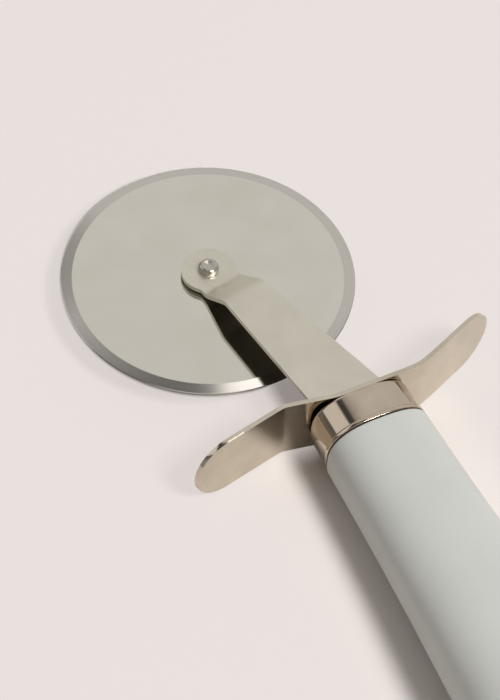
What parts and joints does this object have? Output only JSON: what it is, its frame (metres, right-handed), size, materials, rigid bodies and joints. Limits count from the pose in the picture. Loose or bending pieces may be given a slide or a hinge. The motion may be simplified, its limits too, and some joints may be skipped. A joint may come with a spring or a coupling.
{
  "type": "pizza cutter wheel",
  "caption": "Pizza cutter: thin bevelled wheel spinning on a one-sided, double-bent sheet arm, S-shaped finger guard, oval ferrule and swelling oval grip.",
  "frame": {"origin": "middle of the underside of the whole tool's box, the wheel lying level", "axes": "+X along the handle from the wheel towards the butt, +Y towards the guard's wing that bends to the wheel, +Z along the wheel's axis"},
  "size_m": [0.2096, 0.1008, 0.0271],
  "materials": {
    "wheel_steel": "polished disc, finely ground bevel",
    "bush_brass": "turned",
    "rivet_steel": "polished head",
    "washer_steel": "plain stamped",
    "sheet_steel": "tumbled stamped sheet",
    "guard_steel": "polished sheet",
    "screw_steel": "plain",
    "insert_brass": "turned",
    "ferrule_steel": "polished",
    "core_plastic": "moulded",
    "grip_rubber": "soft matte"
  },
  "bodies": {
    "wheel": {"cutting_wheel": "wheel_steel", "wheel_bush": "bush_brass"},
    "frame": {"axle_rivet": "rivet_steel", "axle_rivet_cap": "rivet_steel", "upper_spacer_washer": "washer_steel", "lower_spacer_washer": "washer_steel", "wheel_arm": "sheet_steel", "finger_guard": "guard_steel", "flange_rivets": "rivet_steel", "tang_screw": "screw_steel", "tang_washer": "washer_steel", "tang_insert": "insert_brass", "ferrule": "ferrule_steel", "handle_core": "core_plastic", "handle_grip": "grip_rubber"}
  },
  "joints": [
    {"name": "wheel_spin", "type": "hinge", "parent": "frame", "child": "wheel", "pos_m": [-0.06477, -0.01045, 0.01357], "axis": [0, 0, 1], "continuous": true}
  ]
}
